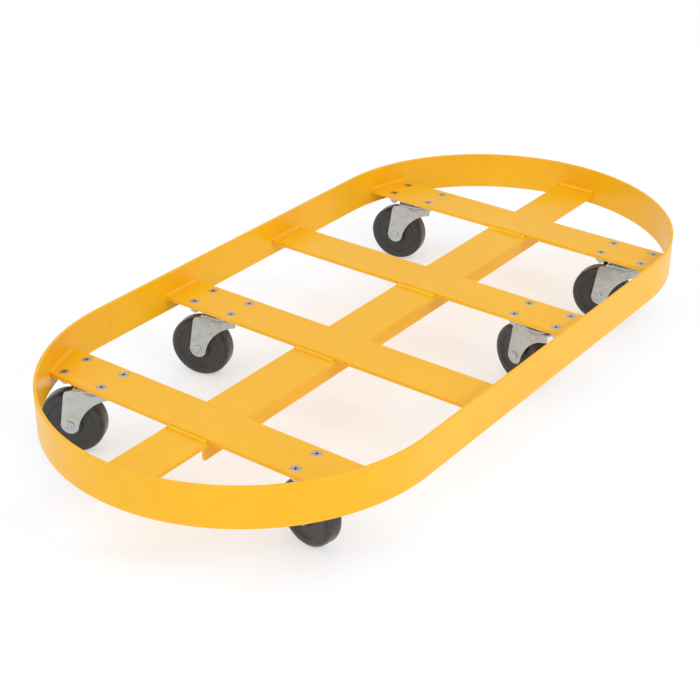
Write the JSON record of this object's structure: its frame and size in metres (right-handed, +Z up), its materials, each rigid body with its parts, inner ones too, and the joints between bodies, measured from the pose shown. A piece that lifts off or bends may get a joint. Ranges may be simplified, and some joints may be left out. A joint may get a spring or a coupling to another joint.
{
  "type": "drum dolly",
  "caption": "Long race-track ring dolly that carries drums side by side on flat cross bars and rolls on swivel casters.",
  "frame": {"origin": "on the floor, under the middle of the ring", "axes": "+X along the ring's length towards the rear arc, +Y across to the left side, +Z up"},
  "size_m": [1.274, 0.614, 0.1718],
  "materials": {
    "yellow_paint": "gloss enamel",
    "zinc_plate": "zinc plated, satin",
    "zinc_screws": "zinc plated, bright",
    "bare_steel": "oiled bare steel",
    "wheel_rubber": "moulded hard rubber, satin"
  },
  "bodies": {
    "frame": {"ring_front_arc": "yellow_paint", "ring_rear_arc": "yellow_paint", "ring_left_side": "yellow_paint", "ring_right_side": "yellow_paint", "crossbar_1": "yellow_paint", "crossbar_2": "yellow_paint", "crossbar_3": "yellow_paint", "crossbar_4": "yellow_paint", "spine_bar": "yellow_paint", "spine_rib": "yellow_paint", "ring_seam_welds": "yellow_paint", "crossbar_end_welds": "yellow_paint", "spine_welds": "yellow_paint", "rib_stitch_welds": "yellow_paint", "caster_screws": "zinc_screws", "caster_nuts": "zinc_screws", "top_plate_1": "zinc_plate", "king_pin_1": "bare_steel", "ball_race_1": "bare_steel", "top_plate_2": "zinc_plate", "king_pin_2": "bare_steel", "ball_race_2": "bare_steel", "top_plate_3": "zinc_plate", "king_pin_3": "bare_steel", "ball_race_3": "bare_steel", "top_plate_4": "zinc_plate", "king_pin_4": "bare_steel", "ball_race_4": "bare_steel", "top_plate_5": "zinc_plate", "king_pin_5": "bare_steel", "ball_race_5": "bare_steel", "top_plate_6": "zinc_plate", "king_pin_6": "bare_steel", "ball_race_6": "bare_steel"},
    "swivel_1": {"fork_1": "zinc_plate", "axle_1": "zinc_screws", "bush_1": "bare_steel"},
    "roller_1": {"wheel_1": "wheel_rubber"},
    "swivel_2": {"fork_2": "zinc_plate", "axle_2": "zinc_screws", "bush_2": "bare_steel"},
    "roller_2": {"wheel_2": "wheel_rubber"},
    "swivel_3": {"fork_3": "zinc_plate", "axle_3": "zinc_screws", "bush_3": "bare_steel"},
    "roller_3": {"wheel_3": "wheel_rubber"},
    "swivel_4": {"fork_4": "zinc_plate", "axle_4": "zinc_screws", "bush_4": "bare_steel"},
    "roller_4": {"wheel_4": "wheel_rubber"},
    "swivel_5": {"fork_5": "zinc_plate", "axle_5": "zinc_screws", "bush_5": "bare_steel"},
    "roller_5": {"wheel_5": "wheel_rubber"},
    "swivel_6": {"fork_6": "zinc_plate", "axle_6": "zinc_screws", "bush_6": "bare_steel"},
    "roller_6": {"wheel_6": "wheel_rubber"}
  },
  "joints": [
    {"name": "swivel_1_turn", "type": "hinge", "parent": "frame", "child": "swivel_1", "pos_m": [-0.431, 0.2165, 0.116], "axis": [0, 0, 1], "continuous": true},
    {"name": "wheel_1_roll", "type": "hinge", "parent": "swivel_1", "child": "roller_1", "pos_m": [-0.44722, 0.24976, 0.0508], "axis": [0.8988, 0.4384, 0], "continuous": true},
    {"name": "swivel_2_turn", "type": "hinge", "parent": "frame", "child": "swivel_2", "pos_m": [-0.431, -0.2165, 0.116], "axis": [0, 0, 1], "continuous": true},
    {"name": "wheel_2_roll", "type": "hinge", "parent": "swivel_2", "child": "roller_2", "pos_m": [-0.42457, -0.18006, 0.0508], "axis": [0.9848, -0.1736, 0], "continuous": true},
    {"name": "swivel_3_turn", "type": "hinge", "parent": "frame", "child": "swivel_3", "pos_m": [-0.143, 0.2165, 0.116], "axis": [0, 0, 1], "continuous": true},
    {"name": "wheel_3_roll", "type": "hinge", "parent": "swivel_3", "child": "roller_3", "pos_m": [-0.1532, 0.25207, 0.0508], "axis": [0.9613, 0.2756, 0], "continuous": true},
    {"name": "swivel_4_turn", "type": "hinge", "parent": "frame", "child": "swivel_4", "pos_m": [0.129, -0.2165, 0.116], "axis": [0, 0, 1], "continuous": true},
    {"name": "wheel_4_roll", "type": "hinge", "parent": "swivel_4", "child": "roller_4", "pos_m": [0.13858, -0.18076, 0.0508], "axis": [0.9659, -0.2588, 0], "continuous": true},
    {"name": "swivel_5_turn", "type": "hinge", "parent": "frame", "child": "swivel_5", "pos_m": [0.417, 0.2165, 0.116], "axis": [0, 0, 1], "continuous": true},
    {"name": "wheel_5_roll", "type": "hinge", "parent": "swivel_5", "child": "roller_5", "pos_m": [0.40994, 0.25282, 0.0508], "axis": [0.9816, 0.1908, 0], "continuous": true},
    {"name": "swivel_6_turn", "type": "hinge", "parent": "frame", "child": "swivel_6", "pos_m": [0.417, -0.2165, 0.116], "axis": [0, 0, 1], "continuous": true},
    {"name": "wheel_6_roll", "type": "hinge", "parent": "swivel_6", "child": "roller_6", "pos_m": [0.40931, -0.18031, 0.0508], "axis": [0.9781, 0.2079, 0], "continuous": true}
  ]
}
